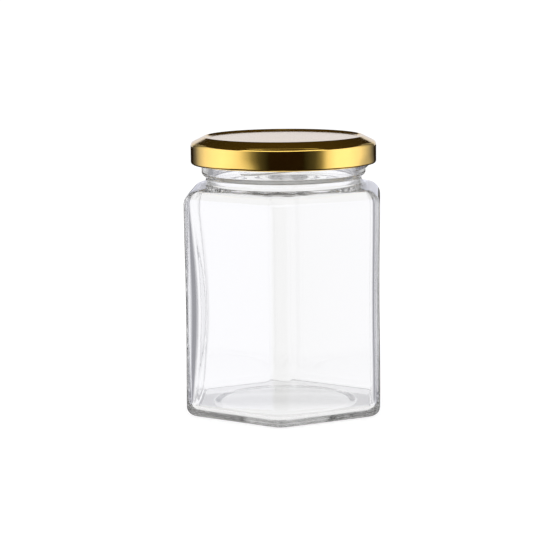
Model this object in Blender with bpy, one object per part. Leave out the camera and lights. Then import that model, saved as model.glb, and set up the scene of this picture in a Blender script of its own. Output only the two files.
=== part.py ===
# Hexagonal glass jar with a gold twist-off lid.
# Metres, +Z up. The origin is the middle of the flat ring that the jar stands on.
# One vertical edge of the hexagon points along -Y, so two flat sides face along X.

import bpy
import bmesh
from math import atan, atan2, cos, pi, radians, sin, sqrt

# Jar body
ACROSS_FLATS = 0.0690
EDGE_R = 0.0060              # rounding of the six vertical edges
WAIST = 0.00025              # how far the sides draw in at half height
HEEL_R = 0.0030
HEEL_EDGE_R = 0.0042         # rounding of the six edges where the heel meets the ground
SHOULDER_Z = 0.0761          # where the sides start to turn in
SHOULDER_R = 0.0050
SHOULDER_SLOPE = radians(6)  # slope of the shoulder's top, outside the neck

# Neck and finish
NECK_R = 0.02785
NECK_FILLET_R = 0.0021
NECK_Z = 0.0836              # height of the narrowest place
COLLAR_R = 0.02935
COLLAR_Z = 0.0856            # lower end of the collar's straight side
BORE_R = 0.0255
RIM_Z = 0.0976

# Threads: four short ones, each a quarter turn after the last
THREAD_COUNT = 4
THREAD_R = 0.0307
THREAD_ROOT = 0.0006         # how deep a thread's foot is sunk into the collar
THREAD_START = radians(-118)
THREAD_SPAN = radians(104)
THREAD_RUN_OUT = radians(14)
THREAD_LOW_Z = 0.0866        # lower side at the low end
THREAD_RISE = 0.00298        # height gained for each radian
THREAD_HEIGHT = 0.0021

# Inside
WALL = 0.0025
INNER_EDGE_R = 0.0060
FLOOR_Z = 0.0022
FLOOR_CROWN = 0.0005         # how far the floor's middle rises above its rim
FLOOR_R = 0.0030             # rounding between floor and walls
CEILING_Z = 0.0797           # top of the inside, under the shoulder
CEILING_R = 0.0035
CEILING_TURN = radians(75)
BORE_FILLET_R = 0.0014
BORE_FOOT_Z = 0.0801

# Underside
PUSH_UP_R = 0.0256           # inner edge of the ring that the jar stands on
PUSH_UP_EDGE = 0.0034        # width of the step up from that ring
PUSH_UP_STEP = 0.0006
PUSH_UP_Z = 0.0010           # height of the underside at its middle

# Lid
LID_R = 0.0332
LID_SHEET = 0.0003
LID_LOW_Z = 0.0888
LID_CURL_R = 0.0008
LID_CORNER_Z = 0.0953
LID_CORNER_R = 0.0016
LID_CONE = radians(24)       # slope of the lid's shoulder
LID_RIM_R = 0.0280           # crest round the panel
LID_RIM_Z = 0.0986
LID_RIM_TOP_R = 0.0008
LID_PANEL_R = 0.0264
LID_PANEL_Z = 0.0980

# Fineness
EDGE_STEPS = 4
SIDE_STEPS = 8
LID_STEPS = 64

HALF = ACROSS_FLATS / 2


def clear_scene():
    for obj in list(bpy.data.objects):
        bpy.data.objects.remove(obj, do_unlink=True)


def make_material(name, color, metallic, roughness, transmission):
    mat = bpy.data.materials.new(name)
    mat.use_nodes = True
    shader = mat.node_tree.nodes["Principled BSDF"]
    shader.inputs["Base Color"].default_value = (*color, 1.0)
    shader.inputs["Metallic"].default_value = metallic
    shader.inputs["Roughness"].default_value = roughness
    shader.inputs["Transmission Weight"].default_value = transmission
    shader.inputs["IOR"].default_value = 1.5
    return mat


def steps(count, first=0):
    """Shares of the way from 0 to 1, in equal steps."""
    return [k / count for k in range(first, count + 1)]


def ring_angles():
    """Angles of one ring: close together at the six edges, wider along the sides."""
    centre = (HALF - EDGE_R) / cos(pi / 6)
    edge = []
    for s in steps(EDGE_STEPS):
        turn = radians(60 * s - 30)
        edge.append(atan2(EDGE_R * sin(turn), centre + EDGE_R * cos(turn)))
    side_step = (pi / 3 - 2 * edge[-1]) / SIDE_STEPS
    side = [edge[-1] + side_step * k for k in range(1, SIDE_STEPS)]
    angles = []
    for k in range(6):
        corner = -pi / 2 + k * pi / 3
        angles += [corner + a for a in edge + side]
    return angles


ANGLES = ring_angles()


def hexagon_radius(angle, half, edge_r):
    """Distance from the axis to a rounded hexagon in the given direction."""
    from_edge = (angle + pi / 2 + pi / 6) % (pi / 3) - pi / 6
    from_flat = pi / 6 - abs(from_edge)
    centre = (half - edge_r) / cos(pi / 6)
    if from_flat <= atan(centre / 2 / half):
        return half / cos(from_flat)
    return centre * cos(from_edge) + sqrt(edge_r ** 2 - (centre * sin(from_edge)) ** 2)


def circle(z, radius, angles=ANGLES):
    return [(radius * cos(a), radius * sin(a), z) for a in angles]


def hexagon(z, half, edge_r, radius=0.0, share=0.0):
    """A rounded hexagon at height z, by the given share turned into a circle."""
    points = []
    for a in ANGLES:
        r = hexagon_radius(a, half, edge_r) * (1 - share) + radius * share
        points.append((r * cos(a), r * sin(a), z))
    return points


def waist(z, low, high):
    return WAIST * sin(pi * (z - low) / (high - low)) ** 2


def underside_rings():
    """From the middle of the push-up, down its step, to the ring that the jar stands on."""
    rings = []
    step_r = PUSH_UP_R - PUSH_UP_EDGE
    for s in (1 / 3, 2 / 3):
        rings.append(circle(PUSH_UP_Z - (PUSH_UP_Z - PUSH_UP_STEP) * s ** 2, step_r * s))
    for s in steps(3):
        rings.append(circle(PUSH_UP_STEP * (1 + cos(pi * s)) / 2, step_r + PUSH_UP_EDGE * s))
    return rings


def body_rings():
    """Heel, sides and the rounding of the shoulder."""
    rings = []
    for s in steps(4):
        t = pi / 2 * s
        edge_r = HEEL_EDGE_R + (EDGE_R - HEEL_EDGE_R) * sin(t)
        rings.append(hexagon(HEEL_R * (1 - cos(t)), HALF - HEEL_R * (1 - sin(t)), edge_r))
    for s in steps(4, first=1):
        z = HEEL_R + (SHOULDER_Z - HEEL_R) * s
        rings.append(hexagon(z, HALF - waist(z, HEEL_R, SHOULDER_Z), EDGE_R))
    for s in steps(6, first=1):
        t = (pi / 2 - SHOULDER_SLOPE) * s
        rings.append(hexagon(SHOULDER_Z + SHOULDER_R * sin(t), HALF - SHOULDER_R * (1 - cos(t)), EDGE_R))
    return rings


def neck_rings():
    """The shoulder's top, where the hexagon turns into a circle, and the fillet up to the neck."""
    rings = []
    turn = pi / 2 - SHOULDER_SLOPE
    top_half = HALF - SHOULDER_R * (1 - cos(turn))
    top_z = SHOULDER_Z + SHOULDER_R * sin(turn)
    foot_r = NECK_R + NECK_FILLET_R * (1 - cos(turn))
    foot_z = NECK_Z - NECK_FILLET_R * sin(turn)
    for s in (1 / 3, 2 / 3):
        rings.append(hexagon(top_z + (foot_z - top_z) * s, top_half, EDGE_R, foot_r, s))
    for s in steps(3):
        t = turn * (1 - s)
        rings.append(circle(NECK_Z - NECK_FILLET_R * sin(t), NECK_R + NECK_FILLET_R * (1 - cos(t))))
    return rings


def finish_rings():
    """The collar's rounded lower side, its straight side and the round rim."""
    rings = []
    for s in steps(5, first=1):
        ease = s * s * (3 - 2 * s)
        rings.append(circle(NECK_Z + (COLLAR_Z - NECK_Z) * s, NECK_R + (COLLAR_R - NECK_R) * ease))
    rim_r = (COLLAR_R - BORE_R) / 2
    for s in steps(8):
        t = pi * s
        rings.append(circle(RIM_Z - rim_r * (1 - sin(t)), BORE_R + rim_r * (1 + cos(t))))
    return rings


def inner_rings():
    """From the bore down to the floor."""
    rings = []
    for s in steps(2):
        t = pi / 2 * s
        z = BORE_FOOT_Z + BORE_FILLET_R * (1 - sin(t))
        rings.append(circle(z, BORE_R + BORE_FILLET_R * (1 - cos(t))))
    inner = HALF - WALL
    wall_top = CEILING_Z - CEILING_R
    top_half = inner - CEILING_R * (1 - cos(CEILING_TURN))
    top_z = wall_top + CEILING_R * sin(CEILING_TURN)
    for s in (1 / 3, 2 / 3):
        z = BORE_FOOT_Z + (top_z - BORE_FOOT_Z) * s
        rings.append(hexagon(z, top_half, INNER_EDGE_R, BORE_R + BORE_FILLET_R, 1 - s))
    for s in steps(4):
        t = CEILING_TURN * (1 - s)
        rings.append(hexagon(wall_top + CEILING_R * sin(t), inner - CEILING_R * (1 - cos(t)), INNER_EDGE_R))
    wall_foot = FLOOR_Z + FLOOR_R
    for s in (1 / 4, 2 / 4, 3 / 4):
        z = wall_top + (wall_foot - wall_top) * s
        rings.append(hexagon(z, inner - waist(z, wall_foot, wall_top), INNER_EDGE_R))
    for s in steps(5):
        t = pi / 2 * s
        rings.append(hexagon(wall_foot - FLOOR_R * sin(t), inner - FLOOR_R * (1 - cos(t)), INNER_EDGE_R))
    for s in (2 / 3, 1 / 3):
        rings.append(circle(FLOOR_Z + FLOOR_CROWN * (1 - s ** 2), (inner - FLOOR_R) * s))
    return rings


def skin(name, rings, first, last):
    """Close a stack of rings into one body, with a point at each end."""
    bm = bmesh.new()
    rows = [[bm.verts.new(p) for p in ring] for ring in rings]
    count = len(rows[0])
    start = bm.verts.new(first)
    end = bm.verts.new(last)
    for k in range(count):
        n = (k + 1) % count
        bm.faces.new((start, rows[0][n], rows[0][k]))
        bm.faces.new((end, rows[-1][k], rows[-1][n]))
        for low, high in zip(rows, rows[1:]):
            bm.faces.new((low[k], low[n], high[n], high[k]))
    bmesh.ops.recalc_face_normals(bm, faces=bm.faces)
    mesh = bpy.data.meshes.new(name)
    bm.to_mesh(mesh)
    bm.free()
    obj = bpy.data.objects.new(name, mesh)
    bpy.context.scene.collection.objects.link(obj)
    return obj


def thread_section(crest, height):
    """Radius and height of a thread's six corners, its foot sunk into the collar."""
    foot = COLLAR_R - THREAD_ROOT
    flank = foot + (crest - foot) * 0.7
    corners = [(foot, 0.50), (flank, 0.46), (crest, 0.30)]
    lower = [(r, -h * height) for r, h in corners]
    upper = [(r, h * height) for r, h in reversed(corners)]
    return lower + upper


def thread(number):
    """One short thread: a ridge that climbs round the neck and sinks into it at both ends."""
    rings = []
    for s in steps(18):
        run_out = min(1.0, min(s, 1 - s) * THREAD_SPAN / THREAD_RUN_OUT)
        full = sin(pi / 2 * run_out)
        crest = COLLAR_R - THREAD_ROOT / 2 + (THREAD_R - COLLAR_R + THREAD_ROOT / 2) * full
        section = thread_section(crest, THREAD_HEIGHT * (1 + full) / 2)
        a = THREAD_START + 2 * pi * number / THREAD_COUNT + THREAD_SPAN * s
        mid = THREAD_LOW_Z + THREAD_HEIGHT / 2 + THREAD_RISE * THREAD_SPAN * s
        rings.append([(r * cos(a), r * sin(a), mid + h) for r, h in section])
    ends = []
    for ring in (rings[0], rings[-1]):
        ends.append([sum(p[axis] for p in ring) / len(ring) for axis in range(3)])
    return skin("thread_%d" % number, rings, *ends)


def unite(target, tool):
    """Join the tool to the target with an exact union and remove the tool."""
    mod = target.modifiers.new("unite", "BOOLEAN")
    mod.operation = "UNION"
    mod.solver = "EXACT"
    mod.object = tool
    graph = bpy.context.evaluated_depsgraph_get()
    mesh = bpy.data.meshes.new_from_object(target.evaluated_get(graph))
    target.modifiers.clear()
    target.data = mesh
    bpy.data.objects.remove(tool, do_unlink=True)


def finish_object(obj, material, sharp_angle):
    obj.data.materials.clear()
    obj.data.materials.append(material)
    for face in obj.data.polygons:
        face.use_smooth = True
    obj.data.set_sharp_from_angle(angle=sharp_angle)


def build_jar():
    rings = underside_rings() + body_rings() + neck_rings() + finish_rings() + inner_rings()
    jar = skin("jar", rings, (0, 0, PUSH_UP_Z), (0, 0, FLOOR_Z + FLOOR_CROWN))
    for number in range(THREAD_COUNT):
        unite(jar, thread(number))
    glass = make_material("clear_glass", (0.96, 0.97, 0.97), 0.0, 0.02, 1.0)
    finish_object(jar, glass, radians(40))


def lid_outline():
    """The sheet in section: its upper face outwards to the curl, then its lower face back inwards."""
    step = LID_RIM_R - LID_PANEL_R
    drop = LID_RIM_Z - LID_PANEL_Z
    rim = [(LID_PANEL_R + step * s, LID_PANEL_Z + drop * s * s * (3 - 2 * s)) for s in steps(3)]
    top = LID_RIM_Z - LID_RIM_TOP_R
    rim.append((LID_RIM_R + LID_RIM_TOP_R * sin(LID_CONE), top + LID_RIM_TOP_R * cos(LID_CONE)))
    turn = [(pi / 2 - LID_CONE) * (1 - s) for s in steps(3)]
    centre = (LID_R - LID_CORNER_R, LID_CORNER_Z)
    corner = [(centre[0] + LID_CORNER_R * cos(t), centre[1] + LID_CORNER_R * sin(t)) for t in turn]
    curl_at = (LID_R - LID_CURL_R, LID_LOW_Z + LID_CURL_R)
    curl = []
    for a in (0, 45, 90, 135, 180, 230):
        t = -radians(a)
        curl.append((curl_at[0] + LID_CURL_R * cos(t), curl_at[1] + LID_CURL_R * sin(t)))
    inner_r = LID_CORNER_R - LID_SHEET
    inside = [(LID_R - LID_SHEET, curl_at[1] + LID_CURL_R * 1.1)]
    inside += [(centre[0] + inner_r * cos(t), centre[1] + inner_r * sin(t)) for t in reversed(turn)]
    inside.append((LID_RIM_R, LID_RIM_Z - 1.25 * LID_SHEET))
    inside.append((LID_PANEL_R + 0.6 * step, LID_PANEL_Z + 0.3 * drop))
    inside.append((LID_PANEL_R + 0.3 * LID_SHEET, LID_PANEL_Z - LID_SHEET))
    return rim + corner + curl + inside


def build_lid():
    turn = [2 * pi * s for s in steps(LID_STEPS)[:-1]]
    rings = [circle(z, r, turn) for r, z in lid_outline()]
    lid = skin("lid", rings, (0, 0, LID_PANEL_Z), (0, 0, LID_PANEL_Z - LID_SHEET))
    gold = make_material("gold_lacquered_steel", (0.83, 0.62, 0.25), 1.0, 0.15, 0.0)
    finish_object(lid, gold, radians(35))


clear_scene()
build_jar()
build_lid()
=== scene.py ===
from math import cos, pi, radians, sin, tan

import bpy
import numpy as np
from mathutils import Matrix, Vector


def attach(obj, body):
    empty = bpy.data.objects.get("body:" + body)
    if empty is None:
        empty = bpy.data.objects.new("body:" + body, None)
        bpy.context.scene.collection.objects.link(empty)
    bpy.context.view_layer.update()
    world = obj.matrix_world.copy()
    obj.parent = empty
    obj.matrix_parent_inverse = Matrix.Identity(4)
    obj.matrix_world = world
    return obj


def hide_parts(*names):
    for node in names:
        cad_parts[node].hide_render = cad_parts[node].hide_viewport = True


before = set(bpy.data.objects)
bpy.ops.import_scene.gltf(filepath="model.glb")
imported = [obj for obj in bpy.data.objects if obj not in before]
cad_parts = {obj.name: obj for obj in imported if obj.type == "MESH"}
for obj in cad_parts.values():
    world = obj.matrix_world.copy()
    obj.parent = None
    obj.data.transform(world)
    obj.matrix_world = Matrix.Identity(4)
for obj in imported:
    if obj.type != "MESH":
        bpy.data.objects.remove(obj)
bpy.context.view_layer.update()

# Outside of the jar, in metres. The shoulder is 0.4 mm lower than the solid's, as are the ceiling
# and the foot of the bore, which brings the grey band under the neck to the photo's height.
ACROSS_FLATS = 0.0690
EDGE_R = 0.0060
WAIST = 0.00025
HEEL_R = 0.0030
HEEL_EDGE_R = 0.0042
SHOULDER_Z = 0.0757
SHOULDER_R = 0.0050
SHOULDER_SLOPE = radians(6)
NECK_R = 0.02785
NECK_FILLET_R = 0.0021
NECK_Z = 0.0836
COLLAR_R = 0.02935
COLLAR_Z = 0.0856
RIM_Z = 0.0976
PUSH_UP_R = 0.0256
PUSH_UP_EDGE = 0.0034
PUSH_UP_STEP = 0.0006
PUSH_UP_Z = 0.0010
STIPPLE_ROWS = 4

# Threads: the rise is for each radian of turn, and the flank is a share of half the height
THREAD_COUNT = 4
THREAD_R = 0.0307
THREAD_START = radians(-118)
THREAD_SPAN = radians(104)
THREAD_RUN_OUT = radians(14)
THREAD_LOW_Z = 0.0866
THREAD_RISE = 0.00298
THREAD_HEIGHT = 0.0021
THREAD_FLANK = 0.38

# Inside of the jar. Blown glass is uneven: its edges are rounded unlike one another, where the solid's
# are alike, the left ones more at half height than at their ends, and a ridge of thicker glass runs
# beside these. FACE_MIDDLE is the cosine of the angle where one edge's rounding gives way to the next.
# The rounding at the floor is 0.2 mm smaller than the solid's.
WALL = 0.0025
INNER_FRONT_R = 0.0075
INNER_RIGHT_R = 0.0030
INNER_LEFT_END_R = 0.0025
INNER_LEFT_MIDDLE_R = 0.0098
FACE_MIDDLE = 0.5
RIDGE = 0.00022
RIDGE_HALF = 0.0010
FLOOR_Z = 0.0022
FLOOR_CROWN = 0.0005
FLOOR_R = 0.0028
CEILING_Z = 0.0793
CEILING_R = 0.0035
CEILING_TURN = radians(75)
BORE_R = 0.0255
BORE_FILLET_R = 0.0014
BORE_FOOT_Z = 0.0797

# Lid. Its rim and panel are 0.3 and 0.5 mm larger in radius than the solid's.
LID_R = 0.0332
LID_SHEET = 0.0003
LID_LOW_Z = 0.0888
LID_CURL_R = 0.0008
LID_CURL_TURN = radians(230)
LID_CORNER_Z = 0.0953
LID_CORNER_R = 0.0016
LID_CONE = radians(24)
LID_RIM_R = 0.0283
LID_RIM_Z = 0.0986
LID_RIM_TOP_R = 0.0008
LID_PANEL_R = 0.0269
LID_PANEL_Z = 0.0980
LID_PANEL_RINGS = (0.3, 0.6, 0.9, 0.97)
LID_SHARP = radians(60)

# Lower face of the lid's sheet: its start over the curl in curl radii, its depth under the rim in
# sheets, its place on the step as shares of the step, and its two rings under the panel
UNDER_CURL = 1.1
UNDER_RIM = 1.25
UNDER_STEP = (0.6, 0.3)
UNDER_PANEL_EDGE = LID_PANEL_R + 0.3 * LID_SHEET
UNDER_PANEL = LID_PANEL_R * 0.9

# Dents where the skirt is pressed in above the lugs
LUG_COUNT = 4
LUG_AT = radians(-115)
LUG_HALF = radians(16)
LUG_DEPTH = 0.0004
LUG_TOP_Z = 0.0935
LUG_FROM_R = 0.031

# Fineness of the meshes
EDGE_STEPS = 20
SIDE_STEPS = 40
LID_STEPS = 256
SCREEN_STEPS = 64

# Materials; mottling and waves by how many fit in a metre, and the depth of the waves in metres
GLASS_INDEX = 1.52
GLASS_DENSITY = 3.0
GLASS_WAVES = 60.0
GLASS_WAVE_DEPTH = 0.000015
STIPPLE_ROUGHNESS = 0.35
GOLD = (0.90, 0.60, 0.115)
GOLD_SHADE = (0.96, 1.04)
GOLD_ROUGHNESS = (0.10, 0.14)
GOLD_WAVES = 120.0
GOLD_WAVE_DEPTH = 0.00003
GOLD_COAT = 0.35
GOLD_COAT_ROUGHNESS = 0.05
INNER_LACQUER = (0.72, 0.71, 0.68)
LACQUER_ROUGHNESS = (0.33, 0.47)
MOTTLE = 300.0

# Camera, fitted to edges of the jar in the photo; the lens and the sensor in millimetres
CAMERA_TURN = radians(3.09)
CAMERA_ELEVATION = radians(9.11)
CAMERA_ROLL = radians(-0.53)
CAMERA_AWAY = 0.7109
CAMERA_TARGET = Vector((-0.00164, 0, 0.04615))
LENS = 126.24
SENSOR = 36

# Floor and world. Mirrors see the room, and the overhead colour as they turn upwards.
FLOOR_HALF = 6.0
FLOOR_DROP = 0.0001
FLOOR_GLOW = 0.84
FLOOR_MATT = 0.22
WHITE = 1.08
ROOM = (0.012, 0.006, 0.002)
OVERHEAD = (0.05, 0.034, 0.007)
UPWARD_FROM = 0.1
UPWARD_TO = 0.8

# How light the world is through the glass: by degrees to the side of straight behind the jar,
# by degrees above the horizon, and how much of the sideways dimming there is at each height
SIDE_LEVELS = ((0, 1.0), (11, 1.0), (16, 0.94), (24, 0.68), (38, 0.28), (64, 0.28), (80, 1.0))
HEIGHT_LEVELS = ((-20, 0.90), (-8, 0.90), (-3, 0.94), (-1, 0.985), (0, 1.0), (9, 1.0), (10.5, 0.52),
                 (14, 0.46), (18, 0.95))
DIMMED_HEIGHTS = ((-18, 0.0), (-13, 1.0), (12, 1.0), (20, 0.5), (45, 0.0))
FRONT_CARD = (radians(-118), radians(-45))
FRONT_CARD_EDGES = (radians(8), radians(5))
FRONT_CARD_LEVEL = 0.42

# Brightness of the two soft lights by degrees from straight behind the jar
LEFT_LIGHT = ((32, 0.02), (44, 0.12), (56, 0.45), (70, 0.75), (86, 0.92), (102, 1.0),
              (117, 0.9), (126, 0.72), (134, 0.45), (142, 0.17), (150, 0.05), (162, 0.01))
RIGHT_LIGHT = ((32, 0.02), (44, 0.16), (61, 0.5), (74, 0.8), (96, 1.0), (114, 1.0),
               (126, 0.72), (134, 0.18), (142, 0.05), (156, 0.01))
LIGHT_AWAY = 0.5
LIGHT_Z = (-0.1, 0.40)
LIGHT_LEVEL = 1.5
LIGHT_BLUE = 0.4

# The other screens
FRONT_HALF = radians(60)
FRONT_AWAY = 0.45
FRONT_Z = (0.36, 0.60)
FRONT_COLOUR = (1.6, 1.6, 1.8)
BACK_HALF = radians(25)
BACK_AWAY = 0.9
BACK_Z = (0.03, 0.34)
BACK_COLOUR = (0.79, 0.80, 0.90)
SIDE_FROM = radians(25)
SIDE_TO = radians(46)
SIDE_Z = (0.03, 0.62)
SIDE_COLOUR = (0.55, 0.55, 0.55)
TOP_HALF = radians(100)
TOP_AWAY = 0.2
TOP_Z = (0.56, 0.95)
TOP_COLOUR = (0.5, 0.48, 0.42)
LIGHT_BOUNCES = 40

HALF = ACROSS_FLATS / 2


def steps(count, first=0):
    return [k / count for k in range(first, count + 1)]


def smooth(share):
    """Soft start and end for a share between 0 and 1."""
    return share * share * (3 - 2 * share)


def ring_angles():
    """Angles of one ring, close together at the six edges."""
    centre = (HALF - EDGE_R) / cos(pi / 6)
    turn = np.radians(np.linspace(-30, 30, EDGE_STEPS + 1))
    edge = np.arctan2(EDGE_R * np.sin(turn), centre + EDGE_R * np.cos(turn))
    side = np.linspace(edge[-1], pi / 3 - edge[-1], SIDE_STEPS + 1)[1:-1]
    sector = np.concatenate([edge, side])
    return np.concatenate([-pi / 2 + k * pi / 3 + sector for k in range(6)])


ANGLES = ring_angles()
FROM_EDGE = (ANGLES + pi / 2 + pi / 6) % (pi / 3) - pi / 6
FROM_FLAT = pi / 6 - np.abs(FROM_EDGE)


def hexagon_radius(half, edge_r):
    """Distance from the axis to a rounded hexagon, for each angle of a ring."""
    centre = (half - edge_r) / cos(pi / 6)
    flat = half / np.cos(FROM_FLAT)
    under_root = np.maximum(edge_r ** 2 - (centre * np.sin(FROM_EDGE)) ** 2, 0)
    edge = centre * np.cos(FROM_EDGE) + np.sqrt(under_root)
    return np.where(FROM_FLAT <= np.arctan(centre / 2 / half), flat, edge)


def ring(z, radius, angles=ANGLES):
    """Points of a ring; radius and height may each be one number or one for each angle."""
    r = radius + 0 * angles
    return np.stack([r * np.cos(angles), r * np.sin(angles), z + 0 * angles], axis=1)


def hexagon(z, half, edge_r, radius=0.0, share=0.0):
    """Rounded hexagon that becomes a circle of this radius as the share goes to 1."""
    return ring(z, hexagon_radius(half, edge_r) * (1 - share) + radius * share)


def waist(z, low, high):
    return WAIST * sin(pi * (z - low) / (high - low)) ** 2


def underside_rings():
    rings = []
    step_r = PUSH_UP_R - PUSH_UP_EDGE
    for s in steps(8, first=1)[:-1]:
        rings.append(ring(PUSH_UP_Z - (PUSH_UP_Z - PUSH_UP_STEP) * s ** 2, step_r * s))
    for s in steps(10):
        rings.append(ring(PUSH_UP_STEP * (1 + cos(pi * s)) / 2, step_r + PUSH_UP_EDGE * s))
    return rings


def body_rings():
    rings = []
    for s in steps(12):
        t = pi / 2 * s
        edge_r = HEEL_EDGE_R + (EDGE_R - HEEL_EDGE_R) * sin(t)
        rings.append(hexagon(HEEL_R * (1 - cos(t)), HALF - HEEL_R * (1 - sin(t)), edge_r))
    for s in steps(40, first=1):
        z = HEEL_R + (SHOULDER_Z - HEEL_R) * s
        rings.append(hexagon(z, HALF - waist(z, HEEL_R, SHOULDER_Z), EDGE_R))
    for s in steps(20, first=1):
        t = (pi / 2 - SHOULDER_SLOPE) * s
        rings.append(hexagon(SHOULDER_Z + SHOULDER_R * sin(t), HALF - SHOULDER_R * (1 - cos(t)), EDGE_R))
    return rings


def neck_rings():
    rings = []
    turn = pi / 2 - SHOULDER_SLOPE
    top_half = HALF - SHOULDER_R * (1 - cos(turn))
    top_z = SHOULDER_Z + SHOULDER_R * sin(turn)
    foot_r = NECK_R + NECK_FILLET_R * (1 - cos(turn))
    foot_z = NECK_Z - NECK_FILLET_R * sin(turn)
    for s in steps(10, first=1)[:-1]:
        rings.append(hexagon(top_z + (foot_z - top_z) * s, top_half, EDGE_R, foot_r, s))
    for s in steps(10):
        t = turn * (1 - s)
        rings.append(ring(NECK_Z - NECK_FILLET_R * sin(t), NECK_R + NECK_FILLET_R * (1 - cos(t))))
    return rings


def thread_height(z):
    """How far the threads stand out of the collar at height z, for each angle of a ring."""
    out = 0 * ANGLES
    for number in range(THREAD_COUNT):
        along = (ANGLES - THREAD_START - 2 * pi * number / THREAD_COUNT) % (2 * pi)
        run_out = np.clip(np.minimum(along, THREAD_SPAN - along) / THREAD_RUN_OUT, 0, 1)
        full = np.sin(pi / 2 * run_out)
        middle = THREAD_LOW_Z + THREAD_HEIGHT / 2 + THREAD_RISE * along
        away = np.abs(z - middle) / (THREAD_HEIGHT * (1 + full) / 4)
        profile = smooth(np.clip((1 - away) / THREAD_FLANK, 0, 1))
        out = np.maximum(out, (THREAD_R - COLLAR_R) * full * profile)
    return out


def finish_rings():
    """Collar, threads and the round rim of the mouth."""
    rings = []
    for s in steps(16, first=1):
        rings.append(ring(NECK_Z + (COLLAR_Z - NECK_Z) * s, NECK_R + (COLLAR_R - NECK_R) * smooth(s)))
    rim_r = (COLLAR_R - BORE_R) / 2
    top = RIM_Z - rim_r
    for s in steps(70, first=1):
        z = COLLAR_Z + (top - COLLAR_Z) * s
        rings.append(ring(z, COLLAR_R + thread_height(z)))
    for s in steps(20, first=1):
        t = pi * s
        rings.append(ring(RIM_Z - rim_r * (1 - sin(t)), BORE_R + rim_r * (1 + cos(t))))
    return rings


def inner_edge_r(z):
    """Rounding of the six inner edges at height z, for each angle of a ring."""
    share = min(max((z - FLOOR_Z) / (SHOULDER_Z - FLOOR_Z), 0), 1)
    left = INNER_LEFT_END_R + (INNER_LEFT_MIDDLE_R - INNER_LEFT_END_R) * sin(pi * share)
    across = np.cos(ANGLES)
    right_or_front = np.where(across > FACE_MIDDLE, INNER_RIGHT_R, INNER_FRONT_R)
    return np.where(across < -FACE_MIDDLE, left, right_or_front)


def inner_hexagon(z, half):
    """Ring of the inner wall, drawn in a little by the ridges beside the two left edges."""
    edge_r = inner_edge_r(z)
    beside = FROM_FLAT - np.arctan((half - edge_r) * tan(pi / 6) / half)
    ridge = RIDGE * np.exp(-(beside * half / RIDGE_HALF) ** 2) * (np.cos(ANGLES) < -FACE_MIDDLE)
    return ring(z, hexagon_radius(half, edge_r) - ridge)


def bore_rings():
    rings = []
    rim_low = RIM_Z - (COLLAR_R - BORE_R) / 2
    bore_low = BORE_FOOT_Z + BORE_FILLET_R
    for s in steps(12, first=1)[:-1]:
        rings.append(ring(rim_low + (bore_low - rim_low) * s, BORE_R))
    for s in steps(8):
        t = pi / 2 * s
        rings.append(ring(BORE_FOOT_Z + BORE_FILLET_R * (1 - sin(t)), BORE_R + BORE_FILLET_R * (1 - cos(t))))
    return rings


def inner_rings():
    """Ceiling, inner wall and floor."""
    rings = []
    inner = HALF - WALL
    wall_top = CEILING_Z - CEILING_R
    top_half = inner - CEILING_R * (1 - cos(CEILING_TURN))
    top_z = wall_top + CEILING_R * sin(CEILING_TURN)
    for s in steps(10, first=1)[:-1]:
        z = BORE_FOOT_Z + (top_z - BORE_FOOT_Z) * s
        rings.append(hexagon(z, top_half, inner_edge_r(z), BORE_R + BORE_FILLET_R, 1 - s))
    for s in steps(16):
        t = CEILING_TURN * (1 - s)
        rings.append(inner_hexagon(wall_top + CEILING_R * sin(t), inner - CEILING_R * (1 - cos(t))))
    wall_foot = FLOOR_Z + FLOOR_R
    for s in steps(40, first=1)[:-1]:
        z = wall_top + (wall_foot - wall_top) * s
        rings.append(inner_hexagon(z, inner - waist(z, wall_foot, wall_top)))
    for s in steps(20):
        t = pi / 2 * s
        rings.append(inner_hexagon(wall_foot - FLOOR_R * sin(t), inner - FLOOR_R * (1 - cos(t))))
    for s in reversed(steps(10, first=1)[:-1]):
        rings.append(ring(FLOOR_Z + FLOOR_CROWN * (1 - s ** 2), (inner - FLOOR_R) * s))
    return rings


def new_object(name, mesh):
    obj = bpy.data.objects.new(name, mesh)
    bpy.context.scene.collection.objects.link(obj)
    return obj


def skin(name, rings, first, last):
    """Close a stack of rings into one smooth body, with a point at each end."""
    count = len(rings[0])
    total = len(rings) * count
    points = [tuple(p) for row in rings for p in row] + [first, last]
    faces = []
    for k in range(count):
        n = (k + 1) % count
        faces.append((total, n, k))
        faces.append((total + 1, total - count + k, total - count + n))
        for row in range(len(rings) - 1):
            low = row * count
            faces.append((low + k, low + n, low + count + n, low + count + k))
    mesh = bpy.data.meshes.new(name)
    mesh.from_pydata(points, [], faces)
    mesh.shade_smooth()
    mesh.validate()
    return new_object(name, mesh)


def new_material(name):
    """A material with its node tree and its Principled shader."""
    mat = bpy.data.materials.new(name)
    mat.use_nodes = True
    return mat, mat.node_tree, mat.node_tree.nodes["Principled BSDF"]


def set_input(tree, socket, value):
    if isinstance(value, bpy.types.NodeSocket):
        tree.links.new(value, socket)
    else:
        socket.default_value = value


def fill(tree, node, values):
    """Link or set inputs of a node by their names."""
    for name, value in values.items():
        set_input(tree, node.inputs[name], value)


def add(tree, kind, inputs=(), **settings):
    """Add a node, set its properties, and link or set its inputs in order; None leaves one as it is."""
    node = tree.nodes.new(kind)
    for name, value in settings.items():
        setattr(node, name, value)
    for socket, value in zip(node.inputs, inputs):
        if value is not None:
            set_input(tree, socket, value)
    return node


def mottle(tree, scale, low, high):
    """Value that wanders between two limits over the piece."""
    place = add(tree, "ShaderNodeTexCoord").outputs["Object"]
    noise = add(tree, "ShaderNodeTexNoise")
    fill(tree, noise, {"Vector": place, "Scale": scale})
    return add(tree, "ShaderNodeMapRange", (noise.outputs[0], 0, 1, low, high)).outputs["Result"]


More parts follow.
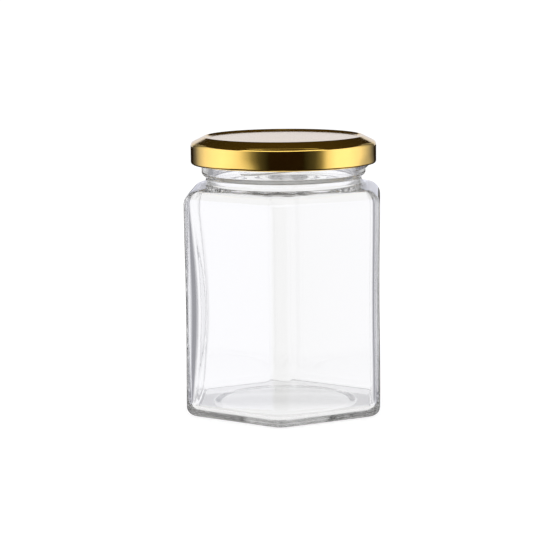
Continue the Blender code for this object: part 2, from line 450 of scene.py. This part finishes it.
def waves(tree, scale, depth):
    """Normal of a surface that isn't quite even: waves of this depth."""
    bump = add(tree, "ShaderNodeBump")
    fill(tree, bump, {"Distance": depth, "Height": mottle(tree, scale, 0, 1)})
    return bump.outputs["Normal"]


def make_glass(roughness=0.0):
    """Clear glass that takes a little of the light along its way, and so is grey where it is thick."""
    mat, tree, shader = new_material("clear_glass")
    fill(tree, shader, {
        "Base Color": (1, 1, 1, 1),
        "Roughness": roughness,
        "Transmission Weight": 1.0,
        "IOR": GLASS_INDEX,
        "Normal": waves(tree, GLASS_WAVES, GLASS_WAVE_DEPTH),
    })
    absorption = add(tree, "ShaderNodeVolumeAbsorption")
    fill(tree, absorption, {"Color": (0, 0, 0, 1), "Density": GLASS_DENSITY})
    fill(tree, tree.nodes["Material Output"], {"Volume": absorption.outputs["Volume"]})
    return mat


def make_jar():
    rings = underside_rings() + body_rings() + neck_rings() + finish_rings() + bore_rings() + inner_rings()
    jar = skin("jar_glass", rings, (0, 0, PUSH_UP_Z), (0, 0, FLOOR_Z + FLOOR_CROWN))
    jar.data.materials.append(make_glass())
    jar.data.materials.append(make_glass(STIPPLE_ROUGHNESS))
    count = len(ANGLES)
    first = (len(underside_rings()) - 1) * count
    for face in jar.data.polygons:
        if len(face.vertices) == 4 and first <= min(face.vertices) < first + STIPPLE_ROWS * count:
            face.material_index = 1
    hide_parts("jar")
    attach(jar, "root")


def make_gold():
    mat, tree, shader = new_material("gold_lacquer")
    shade = add(tree, "ShaderNodeHueSaturation")
    fill(tree, shade, {"Color": (*GOLD, 1), "Value": mottle(tree, MOTTLE, *GOLD_SHADE)})
    fill(tree, shader, {
        "Base Color": shade.outputs["Color"],
        "Metallic": 1.0,
        "Roughness": mottle(tree, MOTTLE, *GOLD_ROUGHNESS),
        "Normal": waves(tree, GOLD_WAVES, GOLD_WAVE_DEPTH),
        "Coat Weight": GOLD_COAT,
        "Coat Roughness": GOLD_COAT_ROUGHNESS,
    })
    return mat


def make_inner_lacquer():
    mat, tree, shader = new_material("inner_lacquer")
    roughness = mottle(tree, MOTTLE, *LACQUER_ROUGHNESS)
    fill(tree, shader, {"Base Color": (*INNER_LACQUER, 1), "Roughness": roughness})
    return mat


def corner(radius):
    """Arc from the lid's sloping shoulder down to its skirt."""
    turn = [(pi / 2 - LID_CONE) * (1 - s) for s in steps(14)]
    middle = LID_R - LID_CORNER_R
    return [(middle + radius * cos(t), LID_CORNER_Z + radius * sin(t)) for t in turn]


def upper_face():
    """Section of the lid's sheet along its upper face, outwards to the curl and round it."""
    step = LID_RIM_R - LID_PANEL_R
    drop = LID_RIM_Z - LID_PANEL_Z
    line = [(LID_PANEL_R * s, LID_PANEL_Z) for s in LID_PANEL_RINGS]
    line += [(LID_PANEL_R + step * s, LID_PANEL_Z + drop * smooth(s)) for s in steps(14)]
    for s in steps(6, first=1):
        t = LID_CONE * s
        line.append((LID_RIM_R + LID_RIM_TOP_R * sin(t), LID_RIM_Z - LID_RIM_TOP_R * (1 - cos(t))))
    line += corner(LID_CORNER_R)
    curl_z = LID_LOW_Z + LID_CURL_R
    line += [(LID_R, LID_CORNER_Z + (curl_z - LID_CORNER_Z) * s) for s in steps(12, first=1)[:-1]]
    for s in steps(16):
        t = LID_CURL_TURN * s
        line.append((LID_R - LID_CURL_R * (1 - cos(t)), curl_z - LID_CURL_R * sin(t)))
    return line


def lower_face():
    """Section of the lid's sheet along its lower face, from the curl back inwards."""
    foot = LID_LOW_Z + LID_CURL_R * (1 + UNDER_CURL)
    line = [(LID_R - LID_SHEET, foot + (LID_CORNER_Z - foot) * s) for s in steps(8)[:-1]]
    line += reversed(corner(LID_CORNER_R - LID_SHEET))
    line.append((LID_RIM_R, LID_RIM_Z - UNDER_RIM * LID_SHEET))
    along, up = UNDER_STEP
    step_r = LID_PANEL_R + along * (LID_RIM_R - LID_PANEL_R)
    line.append((step_r, LID_PANEL_Z + up * (LID_RIM_Z - LID_PANEL_Z)))
    line.append((UNDER_PANEL_EDGE, LID_PANEL_Z - LID_SHEET))
    line.append((UNDER_PANEL, LID_PANEL_Z - LID_SHEET))
    return line


def lug_dent(turn, z):
    """How far the skirt is pressed in above its lugs at height z, for each angle of a ring."""
    from_lug = (turn - LUG_AT + pi / LUG_COUNT) % (2 * pi / LUG_COUNT) - pi / LUG_COUNT
    along = np.clip(1 - np.abs(from_lug) / LUG_HALF, 0, 1)
    down = min(max((LUG_TOP_Z - z) / (LUG_TOP_Z - LID_LOW_Z), 0), 1)
    return LUG_DEPTH * smooth(along) * smooth(down)


def make_lid():
    turn = np.linspace(0, 2 * pi, LID_STEPS, endpoint=False)
    upper, lower = upper_face(), lower_face()
    rings = []
    for r, z in upper + lower:
        dent = lug_dent(turn, z) if r > LUG_FROM_R else 0
        rings.append(ring(z, r - dent, turn))
    lid = skin("lid_gold", rings, (0, 0, LID_PANEL_Z), (0, 0, LID_PANEL_Z - LID_SHEET))
    lid.data.set_sharp_from_angle(angle=LID_SHARP)
    lid.data.materials.append(make_gold())
    lid.data.materials.append(make_inner_lacquer())
    first_inside = (len(upper) - 1) * LID_STEPS
    inside_middle = len(lid.data.vertices) - 1
    for face in lid.data.polygons:
        on_lower_face = len(face.vertices) == 4 and min(face.vertices) >= first_inside
        if on_lower_face or inside_middle in face.vertices:
            face.material_index = 1
    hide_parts("lid")
    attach(lid, "root")


def make_camera():
    """The photo's view of the jar."""
    back = Vector((0, -cos(CAMERA_ELEVATION), sin(CAMERA_ELEVATION)))
    right = Vector((1, 0, 0))
    up = back.cross(right)
    x = right * cos(CAMERA_ROLL) + up * sin(CAMERA_ROLL)
    y = up * cos(CAMERA_ROLL) - right * sin(CAMERA_ROLL)
    place = Matrix((x, y, back)).transposed().to_4x4()
    place.translation = CAMERA_TARGET + back * CAMERA_AWAY
    data = bpy.data.cameras.new("camera")
    data.lens = LENS
    data.sensor_width = SENSOR
    camera = new_object("camera", data)
    camera.matrix_world = Matrix.Rotation(CAMERA_TURN, 4, "Z") @ place
    bpy.context.scene.camera = camera


def make_floor():
    mat, tree, shader = new_material("pale_floor")
    fill(tree, shader, {
        "Base Color": (FLOOR_MATT, FLOOR_MATT, FLOOR_MATT, 1),
        "Specular IOR Level": 0.0,
        "Emission Color": (1, 1, 1, 1),
        "Emission Strength": FLOOR_GLOW,
    })
    corners = [(-1, -1), (1, -1), (1, 1), (-1, 1)]
    mesh = bpy.data.meshes.new("floor")
    mesh.from_pydata([(FLOOR_HALF * x, FLOOR_HALF * y, 0) for x, y in corners], [], [(0, 1, 2, 3)])
    mesh.materials.append(mat)
    floor = new_object("floor", mesh)
    floor.location.z = -FLOOR_DROP
    floor.visible_glossy = False
    floor.visible_transmission = False


def levels(tree, degrees, stops):
    """Grey level that follows an angle, straight from each stop to the next."""
    first, last = stops[0][0], stops[-1][0]
    share = add(tree, "ShaderNodeMapRange", (degrees, first, last))
    ramp = add(tree, "ShaderNodeValToRGB", (share.outputs[0],))
    points = ramp.color_ramp.elements
    for angle, level in stops:
        if angle == first:
            point = points[0]
        elif angle == last:
            point = points[-1]
        else:
            point = points.new((angle - first) / (last - first))
        point.color = (level, level, level, 1)
    return ramp.outputs[0]


def scale(tree, a, b, operation="MULTIPLY"):
    return add(tree, "ShaderNodeMath", (a, b), operation=operation).outputs[0]


def blend(tree, first, second, share):
    """Colour between two others, which may be values or outputs of nodes."""
    mix = add(tree, "ShaderNodeMix", data_type="RGBA")
    fill(tree, mix, {"A": first, "B": second, "Factor": share})
    return mix.outputs["Result"]


def patch(tree, place, towards, edges, level):
    """Factor that is 1 outside a round patch of the world and the level inside it."""
    turn, low = towards
    middle = Vector((sin(turn) * cos(low), cos(turn) * cos(low), sin(low)))
    near = add(tree, "ShaderNodeVectorMath", (place, middle), operation="DOT_PRODUCT")
    outer, inner = [cos(edge) for edge in edges]
    return add(tree, "ShaderNodeMapRange", (near.outputs["Value"], outer, inner, 1, level)).outputs[0]


def make_world():
    """White to the camera, dim in mirrors, and through the glass white straight behind the jar.

    In mirrors it is dim so that the lid shows the light screens against the dark.
    """
    world = bpy.data.worlds.new("studio")
    world.use_nodes = True
    bpy.context.scene.world = world
    tree = world.node_tree
    place = add(tree, "ShaderNodeTexCoord").outputs["Generated"]
    turned = add(tree, "ShaderNodeVectorRotate", (place, None, None, -CAMERA_TURN), rotation_type="Z_AXIS")
    axes = add(tree, "ShaderNodeSeparateXYZ", (turned.outputs[0],)).outputs
    aside = scale(tree, axes["X"], axes["Y"], "ARCTAN2")
    aside = scale(tree, scale(tree, aside, 0, "ABSOLUTE"), 180 / pi)
    height = scale(tree, scale(tree, axes["Z"], 0, "ARCSINE"), 180 / pi)

    dimming = scale(tree, 1, levels(tree, aside, SIDE_LEVELS), "SUBTRACT")
    dimming = scale(tree, dimming, levels(tree, height, DIMMED_HEIGHTS))
    through = scale(tree, scale(tree, 1, dimming, "SUBTRACT"), levels(tree, height, HEIGHT_LEVELS))
    card = patch(tree, turned.outputs[0], FRONT_CARD, FRONT_CARD_EDGES, FRONT_CARD_LEVEL)
    through = scale(tree, scale(tree, through, card), WHITE)

    path = add(tree, "ShaderNodeLightPath").outputs
    upward = add(tree, "ShaderNodeMapRange", (axes["Z"], UPWARD_FROM, UPWARD_TO))
    room = blend(tree, (*ROOM, 1), (*OVERHEAD, 1), upward.outputs[0])
    seen = blend(tree, (WHITE, WHITE, WHITE, 1), room, path["Is Glossy Ray"])
    seen = blend(tree, seen, through, path["Is Transmission Ray"])
    fill(tree, tree.nodes["Background"], {"Color": seen})


def glow():
    """Material that shines with the colours stored in the points of its mesh, but not through the glass."""
    mat, tree, shader = new_material("light")
    tree.nodes.remove(shader)
    colour = add(tree, "ShaderNodeAttribute", attribute_name="light").outputs["Color"]
    light = add(tree, "ShaderNodeEmission", (colour,)).outputs[0]
    clear = add(tree, "ShaderNodeBsdfTransparent").outputs[0]
    through = add(tree, "ShaderNodeLightPath").outputs["Is Transmission Ray"]
    either = add(tree, "ShaderNodeMixShader", (through, light, clear)).outputs[0]
    fill(tree, tree.nodes["Material Output"], {"Surface": either})
    return mat


def behind(angle, distance, z):
    """A place at an angle from straight behind the jar, as the camera sees it; right is positive."""
    azimuth = pi / 2 + CAMERA_TURN - angle
    return Vector((distance * cos(azimuth), distance * sin(azimuth), z))


def screen(name, angles, distance, heights, colour):
    """Curved upright screen round the jar between two angles from straight behind it.

    Its colour is one value, or a function that gives it for each angle.
    """
    first, last = angles
    points = []
    colours = []
    for s in steps(SCREEN_STEPS):
        angle = first + (last - first) * s
        for z in heights:
            points.append(behind(angle, distance, z))
            colours += [*(colour(angle) if callable(colour) else colour), 1.0]
    faces = [(2 * k, 2 * k + 2, 2 * k + 3, 2 * k + 1) for k in range(SCREEN_STEPS)]
    mesh = bpy.data.meshes.new(name)
    mesh.from_pydata(points, [], faces)
    mesh.color_attributes.new("light", "FLOAT_COLOR", "POINT").data.foreach_set("color", colours)
    mesh.materials.append(glow())
    obj = new_object(name, mesh)
    obj.visible_camera = False
    obj.visible_diffuse = False
    obj.visible_shadow = False


def soft_light(side, stops):
    """A light at one side of the jar, softer and less blue towards its edges."""
    turns = [radians(angle) for angle, _ in stops]
    shares = [share for _, share in stops]

    def colour(angle):
        share = np.interp(side * angle, turns, shares)
        level = LIGHT_LEVEL * share
        return level, level, level * (1 + LIGHT_BLUE * share)

    screen("soft_light", (side * turns[0], side * turns[-1]), LIGHT_AWAY, LIGHT_Z, colour)


def make_screens():
    soft_light(-1, LEFT_LIGHT)
    soft_light(1, RIGHT_LIGHT)
    for side in (-1, 1):
        screen("side_panel", (side * SIDE_FROM, side * SIDE_TO), BACK_AWAY, SIDE_Z, SIDE_COLOUR)
    screen("back_panel", (-BACK_HALF, BACK_HALF), BACK_AWAY, BACK_Z, BACK_COLOUR)
    screen("front_light", (pi - FRONT_HALF, pi + FRONT_HALF), FRONT_AWAY, FRONT_Z, FRONT_COLOUR)
    screen("top_light", (-TOP_HALF, TOP_HALF), TOP_AWAY, TOP_Z, TOP_COLOUR)


make_jar()
make_lid()
make_camera()
make_floor()
make_world()
make_screens()
bpy.context.scene.view_settings.view_transform = "Standard"
bpy.context.scene.cycles.max_bounces = LIGHT_BOUNCES
bpy.context.scene.cycles.glossy_bounces = LIGHT_BOUNCES
bpy.context.scene.cycles.transmission_bounces = LIGHT_BOUNCES
